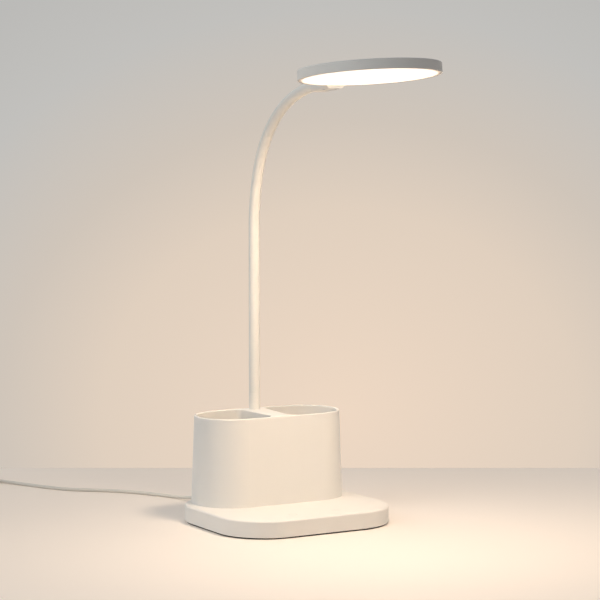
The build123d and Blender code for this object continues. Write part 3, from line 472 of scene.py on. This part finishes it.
CONTACT_PLACES = (-0.0035, -0.001, 0.001, 0.0035)
CONTACT_WIDTH = 0.001
CONTACT_FROM = 0.041    # along the plug from the lead's end
CONTACT_TO = 0.0525
CONTACT_THICK = 0.00008
CONTACT_EDGE = 0.00002
tongue_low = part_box("usb_plug_tongue")[0]
contact_place = Matrix.Translation((
    plug_start.x, plug_start.y, tongue_low.z - CONTACT_THICK / 2
)) @ plug_turn
for number, offset in enumerate(CONTACT_PLACES, 1):
    contact = soft_box(
        f"usb_contact_{number}", (CONTACT_FROM, 0.0, offset - CONTACT_WIDTH / 2),
        (CONTACT_TO, CONTACT_THICK, offset + CONTACT_WIDTH / 2), CONTACT_EDGE, contact_place,
    )
    dress(contact, gold_contacts)
    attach(contact, "base")

# ---- tie on the coil ------------------------------------------------------------------------
# A strap woven from white polyester, wrapped once round all the spare turns of the lead so that
# they stay together.
weave = Finish("woven_white_strap")
threads_along, threads_across = (
    weave.node("ShaderNodeTexWave", {"bands_direction": way}, {
        "Vector": weave.place, "Scale": 420.0, "Distortion": 0.4,
    }) for way in ("X", "Z")
)
threads = threads_along * threads_across
woven_white_strap = weave.surface({
    "Base Color": weave.blend(threads, colour(0.72, 0.71, 0.68), colour(0.86, 0.85, 0.82)),
    "Roughness": 0.85 - threads * 0.15,
    "Normal": weave.relief(threads, 0.0001),
})
dress(frame["nodes"]["cord_tie"], woven_white_strap)

# ---- base -----------------------------------------------------------------------------------
# A low rounded shell of matte white ABS, closed by a bottom cover, on a thin black rubber pad.
# Mould texture gives the plastic a fine dry grain.


def moulded(name, light, shade, grain_size):
    """Matte white plastic: a dry mould grain, a faint bloom and uneven sheen from handling."""
    plastic = Finish(name)
    bloom, rubbed = plastic.noise(0.06), plastic.noise(0.012, 3.0)
    grain = plastic.noise(grain_size, 2.0)
    return plastic.surface({
        "Base Color": plastic.blend(bloom * 0.7 + rubbed * 0.3, light, shade),
        "Roughness": rubbed * 0.14 + grain * 0.08 + 0.42,
        "Normal": plastic.relief(grain, 0.000035),
    })


matte_white_base = moulded(
    "matte_white_base", colour(0.87, 0.845, 0.80), colour(0.83, 0.805, 0.76), 0.0005
)
for node in ("base_shell", "base_bottom_cover"):
    dress(frame["nodes"][node], matte_white_base)

rubber = Finish("black_rubber_pad")
rubber_grain, rubber_dust = rubber.noise(0.0009, 3.0), rubber.noise(0.02, 3.0)
black_rubber_pad = rubber.surface({
    "Base Color": rubber.blend(
        rubber_dust, colour(0.022, 0.02, 0.018), colour(0.045, 0.042, 0.038)
    ),
    "Roughness": rubber_grain * 0.15 + 0.75,
    "Normal": rubber.relief(rubber_grain, 0.0001),
})
dress(frame["nodes"]["anti_slip_pad"], black_rubber_pad)

# ---- touch marks ----------------------------------------------------------------------------
# Two pale grey marks printed over the springs of the touch control: a power mark on the left
# and a brightness mark on the right.
POWER_PLACE = (-0.021, -0.047)
BRIGHTNESS_PLACE = (0.021, -0.047)
PRINT_THICK = 0.00004
PRINT_LIFT = 0.00001
LINE_WIDTH = 0.0006
POWER_RADIUS = 0.0034
POWER_GAP = (125.0, 415.0)      # degrees from which and to which the power mark's arc runs
POWER_BAR = (0.0012, 0.0046)    # from the mark's middle
LAMP_RADIUS = 0.0019
RAY_COUNT = 8
RAY = (0.0030, 0.0043)
RAY_WIDTH = 0.0005
ARC_STEP = math.radians(9)
SAME_PLACE = 0.000001
ink = Finish("pale_grey_print")
ink_specks = ink.noise(0.0007, 3.0)
pale_grey_print = ink.surface({
    "Base Color": ink.blend(ink_specks, colour(0.70, 0.68, 0.64), colour(0.76, 0.74, 0.70)),
    "Roughness": ink_specks * 0.15 + 0.4,
})
base_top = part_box("base_shell")[1].z


def arc_band(work, middle, radius, width, start, finish):
    """A flat printed band along an arc, as a thin closed strip."""
    steps = max(4, round((finish - start) / ARC_STEP))
    rows = []
    for step in range(steps + 1):
        angle = start + (finish - start) * step / steps
        spoke = Vector((math.cos(angle), math.sin(angle), 0.0))
        rows.append([
            work.verts.new(middle + spoke * reach + up * lift)
            for reach, lift in (
                (radius - width / 2, 0.0), (radius + width / 2, 0.0),
                (radius + width / 2, PRINT_THICK), (radius - width / 2, PRINT_THICK),
            )
        ])
    for one, two in zip(rows[:-1], rows[1:]):
        for side in range(4):
            after = (side + 1) % 4
            work.faces.new((one[side], one[after], two[after], two[side]))
    if finish - start < 2 * math.pi - ARC_STEP / 2:
        work.faces.new(rows[0])
        work.faces.new(rows[-1][::-1])
    else:
        bmesh.ops.remove_doubles(work, verts=work.verts, dist=SAME_PLACE)


def line_band(work, start, finish, width):
    """A flat printed bar between two points, as a thin closed strip."""
    along = (finish - start).normalized()
    across = Vector((-along.y, along.x, 0.0)) * width / 2
    corners = [start - across, finish - across, finish + across, start + across]
    low = [work.verts.new(corner) for corner in corners]
    high = [work.verts.new(corner + up * PRINT_THICK) for corner in corners]
    work.faces.new(low[::-1])
    work.faces.new(high)
    for side in range(4):
        after = (side + 1) % 4
        work.faces.new((low[side], low[after], high[after], high[side]))


for name, mark_place in (("power_mark", POWER_PLACE), ("brightness_mark", BRIGHTNESS_PLACE)):
    mark = bmesh.new()
    middle = Vector((*mark_place, base_top + PRINT_LIFT))
    if name == "power_mark":
        arc_from, arc_to = (math.radians(degrees) for degrees in POWER_GAP)
        bar_from, bar_to = (middle + Vector((0.0, reach, 0.0)) for reach in POWER_BAR)
        arc_band(mark, middle, POWER_RADIUS, LINE_WIDTH, arc_from, arc_to)
        line_band(mark, bar_from, bar_to, LINE_WIDTH)
    else:
        arc_band(mark, middle, LAMP_RADIUS, LINE_WIDTH, 0.0, 2 * math.pi)
        for ray in range(RAY_COUNT):
            angle = 2 * math.pi * ray / RAY_COUNT
            spoke = Vector((math.cos(angle), math.sin(angle), 0.0))
            line_band(mark, middle + spoke * RAY[0], middle + spoke * RAY[1], RAY_WIDTH)
    mark_mesh = bpy.data.meshes.new(name)
    mark.to_mesh(mark_mesh)
    mark.free()
    printed = finished(name, mark_mesh)
    dress(printed, pale_grey_print)
    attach(printed, "base")

# ---- inside the base ------------------------------------------------------------------------
# A steel plate weighs the base down. The touch board sits on posts under the roof, with a coiled
# spring up to each mark, and plated screws hold everything.
CORE_COUNT = 10         # lengths of steel in the neck


def worked_metal(name, light, shade, stretch, roughness):
    """Bare metal with lines along the way it was drawn, rolled or turned."""
    work = Finish(name)
    lines = work.node("ShaderNodeTexNoise", {}, {
        "Vector": work.node("ShaderNodeMapping", {}, {"Vector": work.place, "Scale": stretch}),
        "Scale": 1.0, "Detail": 3.0,
    })
    return work.surface({
        "Base Color": work.blend(lines, light, shade),
        "Metallic": 1.0,
        "Roughness": lines * 0.2 + roughness,
        "Normal": work.relief(lines, 0.00002),
    })


rolled_steel = worked_metal(
    "rolled_steel", colour(0.56, 0.56, 0.57), colour(0.44, 0.44, 0.45), (30.0, 1500.0, 900.0), 0.3
)
plated_screw = worked_metal(
    "plated_screw", colour(0.72, 0.72, 0.74), colour(0.60, 0.60, 0.62),
    (2500.0, 2500.0, 600.0), 0.22
)
spring_wire = worked_metal(
    "spring_wire", colour(0.74, 0.73, 0.69), colour(0.62, 0.61, 0.58), (900.0, 900.0, 2500.0), 0.2
)
for node in ("counterweight", "neck_foot", "tail_clamp"):
    dress(frame["nodes"][node], rolled_steel)
for number in range(1, CORE_COUNT + 1):
    dress(frame["nodes"][f"neck_core_{number:02d}"], rolled_steel)
for node in (
    "base_screws", "counterweight_screws", "board_screws", "holder_screws", "neck_nut",
    "neck_washer", "tail_clamp_screws", "tail_cover_screws",
):
    dress(frame["nodes"][node], plated_screw)
dress(frame["nodes"]["touch_springs"], spring_wire)

board = Finish("green_board")
tracks = board.node("ShaderNodeTexBrick", {}, {
    "Vector": board.place, "Scale": 260.0, "Color1": colour(0.02, 0.12, 0.05),
    "Color2": colour(0.03, 0.16, 0.07), "Mortar": colour(0.05, 0.22, 0.10), "Mortar Size": 0.03,
})
green_board = board.surface({"Base Color": tracks, "Roughness": board.noise(0.004) * 0.1 + 0.3})
dress(frame["nodes"]["control_board"], green_board)

# ---- pen holder -----------------------------------------------------------------------------
# One upright moulding in the same white ABS: two deep pockets with a wedge of wall between them
# that carries the neck. It is screwed down through the base's roof.
matte_white_holder = moulded(
    "matte_white_holder", colour(0.87, 0.845, 0.80), colour(0.835, 0.81, 0.765), 0.0005
)
dress(frame["nodes"]["pen_holder"], matte_white_holder)

# ---- neck -----------------------------------------------------------------------------------
# A white silicone tube drawn over the jointed core, from the foot inside the holder to the
# ferrule at the head. It is one skin in fact; here each link has its own length, with round
# ends that turn inside the next one, so that the skin stays closed when the neck bends.
NECK_Y = 0.056
NECK_STRAIGHT = 0.2463
NECK_BENDS = ((0.160, 17.9), (0.100, 50.6), (0.168, 15.15))     # radius and turn in degrees
SKIN_RADIUS = 0.0046
SKIN_INNER = 0.0034
FIRST_JOINT = 0.104
JOINT_PITCH = 0.038
JOINTS = 9
FERRULE_LENGTH = 0.003
RING_STEP = 0.001
SKIN_SIDES = 40
ROUND_END_STEPS = (0.00002, 0.0004, 0.0008, 0.0012, 0.0015)     # outwards from the joint
ROUND_END_TUCK = 0.00001        # under the next length's skin
skin_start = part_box("neck_sleeve_01")[0].z
neck_length = NECK_STRAIGHT + sum(r * math.radians(turn) for r, turn in NECK_BENDS)
skin_end = neck_length - FERRULE_LENGTH


def neck_at(reach):
    """Point on the neck's middle line and its tilt towards the front, in radians."""
    point = Vector((0.0, NECK_Y, min(reach, NECK_STRAIGHT)))
    left, tilt = reach - NECK_STRAIGHT, 0.0
    for radius, turn in NECK_BENDS:
        if left <= 0:
            break
        turned = tilt + min(left / radius, math.radians(turn))
        point.y -= radius * (math.cos(tilt) - math.cos(turned))
        point.z += radius * (math.sin(turned) - math.sin(tilt))
        left, tilt = left - radius * math.radians(turn), turned
    return point, tilt


def on_neck(reach, across, rise):
    """A point round the neck, across in the lamp's X and rise towards the back."""
    point, tilt = neck_at(reach)
    return point + Vector((across, math.cos(tilt) * rise, math.sin(tilt) * rise))


def round_end(joint_at, way):
    """Profile points of the ball round a joint, from the joint's middle outwards."""
    return [
        (joint_at + way * out, math.sqrt(SKIN_RADIUS ** 2 - out ** 2) - ROUND_END_TUCK)
        for out in ROUND_END_STEPS
    ]


silicone = Finish("white_silicone_skin")
silicone_bloom, silicone_dust = silicone.noise(0.03, 2.0), silicone.noise(0.0012, 3.0)
white_silicone_skin = silicone.surface({
    "Base Color": silicone.blend(
        silicone_bloom * 0.6 + silicone_dust * 0.4, colour(0.88, 0.855, 0.80),
        colour(0.835, 0.81, 0.755),
    ),
    "Roughness": silicone_dust * 0.16 + 0.44,
    "Normal": silicone.relief(silicone_dust, 0.000005),
})
for number in range(1, JOINTS + 2):
    low = skin_start if number == 1 else FIRST_JOINT + JOINT_PITCH * (number - 2)
    high = skin_end if number > JOINTS else FIRST_JOINT + JOINT_PITCH * (number - 1)
    rings = max(2, round((high - low) / RING_STEP))
    profile = [(low + (high - low) * ring / rings, SKIN_RADIUS) for ring in range(rings + 1)]
    first, last = low, high
    if number > 1:
        profile = round_end(low, -1)[::-1] + profile
        first = profile[0][0]
    if number <= JOINTS:
        profile += round_end(high, 1)
        last = profile[-1][0]
    rings = max(2, round((last - first) / RING_STEP))
    profile += [(last - (last - first) * ring / rings, SKIN_INNER) for ring in range(rings + 1)]
    skin = turned_mesh(f"neck_skin_{number:02d}", profile, on_neck, SKIN_SIDES)
    dress(skin, white_silicone_skin)
    body = "base" if number == 1 else "head" if number > JOINTS else f"neck_link_{number - 1}"
    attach(skin, body)
    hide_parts(f"neck_sleeve_{number:02d}")

satin_ferrule = worked_metal(
    "satin_ferrule", colour(0.90, 0.90, 0.89), colour(0.84, 0.84, 0.83), (700.0, 700.0, 700.0), 0.28
)
dress(frame["nodes"]["neck_ferrule"], satin_ferrule)

# ---- head -----------------------------------------------------------------------------------
# A shallow round shell of the same white ABS with a tail under its back edge that grips the
# neck. The opal disc in its face glows, brightest in the middle, and its rim shows a warm line.
TAIL_REACH = 0.078      # from the disc's middle back to the end of the neck
TAIL_RISE = 0.0038      # from the disc's face up to the middle line of the neck
DISC_RADIUS = 0.05505
GLOW = 1.2
head_point, head_tilt = neck_at(neck_length)
head_pitch = math.pi / 2 - head_tilt
head_back = Vector((0.0, math.cos(head_pitch), -math.sin(head_pitch)))
head_up = Vector((0.0, math.sin(head_pitch), math.cos(head_pitch)))
head_middle = head_point - head_back * TAIL_REACH - head_up * TAIL_RISE
matte_white_head = moulded(
    "matte_white_head", colour(0.87, 0.845, 0.80), colour(0.835, 0.81, 0.765), 0.0005
)
dress(frame["nodes"]["head_shell"], matte_white_head)
dress(frame["nodes"]["tail_cover"], matte_white_head)

opal = Finish("glowing_opal_disc")
from_middle = opal.node("ShaderNodeVectorMath", {"operation": "DISTANCE"}, {
    0: opal.place, 1: head_middle,
}, "Value")
glow_colour = opal.node("ShaderNodeValToRGB", {"stops": (
    (0.0, (1.0, 0.94, 0.86)), (0.80, (1.0, 0.93, 0.83)), (0.95, (1.0, 0.82, 0.62)),
    (0.985, (0.20, 0.11, 0.05)), (1.0, (0.14, 0.07, 0.03)),
)}, {"Fac": from_middle / DISC_RADIUS})
glowing_opal_disc = opal.surface({
    "Base Color": opal.blend(opal.noise(0.02), colour(0.90, 0.89, 0.86), colour(0.87, 0.86, 0.83)),
    "Roughness": opal.noise(0.0012) * 0.1 + 0.4,
    "Emission Color": glow_colour,
    "Emission Strength": GLOW,
})
dress(frame["nodes"]["diffuser"], glowing_opal_disc)

# ---- inside the head ------------------------------------------------------------------------
# LEDs on a white strip round the wall shine into the edge of an acrylic guide, with a white film
# and a foam pad behind it.
acrylic = Finish("dotted_acrylic_guide")
dots = acrylic.node("ShaderNodeTexVoronoi", {}, {
    "Vector": acrylic.place, "Scale": 600.0, "Randomness": 0.1,
})
dotted_acrylic_guide = acrylic.surface({
    "Base Color": acrylic.blend(dots < 0.25, colour(0.86, 0.88, 0.89), colour(0.95, 0.95, 0.94)),
    "Roughness": (dots < 0.25) * 0.4 + 0.08,
})
film = Finish("white_film")
white_film = film.surface({
    "Base Color": film.blend(film.noise(0.01), colour(0.93, 0.93, 0.93), colour(0.90, 0.90, 0.90)),
    "Roughness": film.noise(0.001) * 0.1 + 0.2,
})
foam = Finish("grey_foam")
cells = foam.node("ShaderNodeTexVoronoi", {}, {"Vector": foam.place, "Scale": 1500.0})
grey_foam = foam.surface({
    "Base Color": foam.blend(cells, colour(0.08, 0.08, 0.085), colour(0.14, 0.14, 0.145)),
    "Roughness": cells * 0.1 + 0.85,
    "Normal": foam.relief(cells, 0.0003),
})
mask = Finish("white_solder_mask")
white_solder_mask = mask.surface({
    "Base Color": mask.blend(mask.noise(0.003), colour(0.88, 0.88, 0.86), colour(0.84, 0.84, 0.82)),
    "Roughness": mask.noise(0.001) * 0.1 + 0.3,
})
phosphor = Finish("yellow_phosphor")
yellow_phosphor = phosphor.surface({
    "Base Color": phosphor.blend(
        phosphor.noise(0.0006), colour(0.93, 0.72, 0.22), colour(0.88, 0.66, 0.18)
    ),
    "Roughness": phosphor.noise(0.0004) * 0.1 + 0.25,
})
for node, finish in (
    ("light_guide", dotted_acrylic_guide), ("reflector_sheet", white_film),
    ("foam_pad", grey_foam), ("led_strip", white_solder_mask), ("leds", yellow_phosphor),
):
    dress(frame["nodes"][node], finish)

# ---- table and light ------------------------------------------------------------------------
# A plain pale table with painted light, seen only by camera and reflection rays, that grows with
# distance from the lamp; a pale wall behind it that is seen from the front alone and carries a
# painted warm pool of the lamp's light; and soft light: a weak warm lamp at the right, wide ones
# at the left, above and behind, and the disc's own glow, which turns with the head.
TABLE_REACH = 7.0
WALL_BEHIND = 0.286
WALL_WIDTH = 4.0
WALL_HEIGHT = 3.0
# The table's painted light reaches its strongest level at this distance.
PAINTED_TABLE_LIGHT_REACH = 3.0      # where the table has its far colour
# The warm pool of the lamp's light painted on the wall fades out at this distance from its middle,
# and is squashed in height.
PAINTED_POOL_REACH = 0.55      # the same for the wall, from the middle of its warm patch
PAINTED_POOL_SQUASH = 1.15
heading = Vector((0.50354, 0.86397, 0.0))       # level, the way that the camera looks
sideways = Vector((heading.y, -heading.x, 0.0))
# Middle of the warm pool of lamplight painted on the wall.
painted_pool_middle = heading * WALL_BEHIND + sideways * 0.05 + up * 0.06


def stage_plane(name, corners, material):
    """A flat piece of the surroundings, which is no part of the lamp."""
    mesh = bpy.data.meshes.new(name)
    mesh.from_pydata(corners, [], [(0, 1, 2, 3)])
    plane = bpy.data.objects.new(name, mesh)
    bpy.context.scene.collection.objects.link(plane)
    dress(plane, material)
    return plane


def seen_rays(work):
    """1 for rays that show a surface to the camera, straight or through a reflection."""
    straight, mirrored, through = (
        work.node("ShaderNodeLightPath", output=f"Is {kind} Ray")
        for kind in ("Camera", "Glossy", "Transmission")
    )
    return (straight + mirrored + through) > 0.5


# The table's emission, seen only by camera and reflection rays, is painted light: a little near the
# lamp, and more farther out.
top = Finish("pale_table_painted_light")
table_reach = top.node("ShaderNodeVectorMath", {"operation": "LENGTH"}, {0: top.place}, "Value")
painted_table_light = top.node("ShaderNodeValToRGB", {"stops": (
    (0.0, (0.11, 0.090, 0.070)), (0.10, (0.16, 0.130, 0.100)), (0.40, (0.34, 0.305, 0.27)),
)}, {"Fac": table_reach / PAINTED_TABLE_LIGHT_REACH})
pale_table_painted_light = top.surface({
    "Base Color": top.blend(top.noise(0.3), colour(0.81, 0.755, 0.70), colour(0.79, 0.735, 0.68)),
    "Roughness": top.noise(0.01) * 0.1 + 0.6,
    "Emission Color": top.blend(seen_rays(top), colour(0, 0, 0), painted_table_light),
    "Emission Strength": 1.0,
})
stage_plane("table", [
    (-TABLE_REACH, -TABLE_REACH, 0), (TABLE_REACH, -TABLE_REACH, 0),
    (TABLE_REACH, TABLE_REACH, 0), (-TABLE_REACH, TABLE_REACH, 0),
], pale_table_painted_light)

# The wall's emission paints a warm pool of the lamp's light, low and right of the middle, fading to
# a greyer tone farther out.
paint = Finish("pale_wall_painted_light")
from_painted_pool = paint.node("ShaderNodeVectorMath", {"operation": "DISTANCE"}, {
    0: paint.node("ShaderNodeMapping", {}, {
        "Vector": paint.place, "Scale": (1.0, 1.0, PAINTED_POOL_SQUASH),
    }),
    1: painted_pool_middle,
}, "Value")
wall_painted_light = paint.node("ShaderNodeValToRGB", {"stops": (
    (0.0, (0.86, 0.69, 0.55)), (0.42, (0.75, 0.63, 0.52)), (0.60, (0.63, 0.56, 0.49)),
    (0.82, (0.54, 0.53, 0.51)), (1.0, (0.50, 0.495, 0.48)),
)}, {"Fac": from_painted_pool / PAINTED_POOL_REACH})
front = paint.node("ShaderNodeNewGeometry", output="Backfacing") < 0.5
paint.node("ShaderNodeOutputMaterial", {}, {
    "Surface": paint.node("ShaderNodeMixShader", {}, {
        0: front * seen_rays(paint), 1: paint.node("ShaderNodeBsdfTransparent"),
        2: paint.node("ShaderNodeEmission", {}, {"Color": wall_painted_light, "Strength": 1.0}),
    }),
})
wall = stage_plane("wall", [
    heading * WALL_BEHIND + sideways * side + up * height for side, height in (
        (-WALL_WIDTH, 0.0), (WALL_WIDTH, 0.0), (WALL_WIDTH, WALL_HEIGHT),
        (-WALL_WIDTH, WALL_HEIGHT),
    )
], paint.material)
wall.visible_shadow = False


def soft_lamp(name, place, aim, size, watts, tint, spread=180.0, shape="SQUARE"):
    """A lamp with a soft face that looks at a point. The camera doesn't see the lamp itself."""
    light = bpy.data.lights.new(name, "AREA")
    light.shape = shape
    light.size, light.energy, light.color = size, watts, tint
    light.spread = math.radians(spread)
    lamp = bpy.data.objects.new(name, light)
    lamp.location = place
    lamp.rotation_euler = (Vector(aim) - Vector(place)).to_track_quat("-Z", "Y").to_euler()
    lamp.visible_camera = False
    bpy.context.scene.collection.objects.link(lamp)
    return lamp


soft_lamp(
    "warm_key", place=(1.2, -0.8, 0.16), aim=(0.04, 0.0, -0.02), size=0.3, watts=0.125,
    tint=(1.0, 0.83, 0.65), spread=32.0,
)
soft_lamp(
    "cool_fill", place=(-3.0, -0.6, 1.6), aim=(0.0, 0.0, 0.2), size=2.4, watts=10.5,
    tint=(0.90, 0.97, 1.0), spread=100.0,
)
soft_lamp(
    "top_fill", place=(0.1, 0.5, 2.4), aim=(0.0, 0.0, 0.1), size=1.5, watts=6.0,
    tint=(0.98, 0.98, 0.98),
)
soft_lamp(
    "back_fill", place=(-1.4, 3.6, 2.6), aim=(0.0, 0.0, 0.1), size=2.4, watts=11.0,
    tint=(1.0, 0.96, 0.92), spread=100.0,
)

# The disc's own light on the table, the base and the neck, and the warmer light from its edge
# that catches the bend of the neck.
disc_light = soft_lamp(
    "disc_light", place=head_middle - head_up * 0.004, aim=head_middle - head_up, size=0.1,
    watts=1.02, tint=(1.0, 0.79, 0.59), spread=165.0, shape="DISK",
)
edge_light = soft_lamp(
    "edge_light", place=head_middle - head_up * 0.024 + head_back * 0.052,
    aim=neck_at(0.30)[0], size=0.03, watts=0.013, tint=(1.0, 0.68, 0.40), spread=110.0,
    shape="DISK",
)
for lamp in (disc_light, edge_light):
    lamp.parent = frame["bodies"]["head"]

world = bpy.data.worlds.new("pale_room")
bpy.context.scene.world = world
world.use_nodes = True
room = NodeWork(world.node_tree)
room_light = room.node("ShaderNodeBackground", {}, {
    "Color": colour(0.86, 0.91, 1.0), "Strength": 0.2,
})
room_backdrop = room.node("ShaderNodeBackground", {}, {
    "Color": colour(0.70, 0.665, 0.625), "Strength": 1.0,
})
room.node("ShaderNodeOutputWorld", {}, {
    "Surface": room.node("ShaderNodeMixShader", {}, {
        0: seen_rays(room), 1: room_light, 2: room_backdrop,
    }),
})
bpy.context.scene.view_settings.view_transform = "Standard"
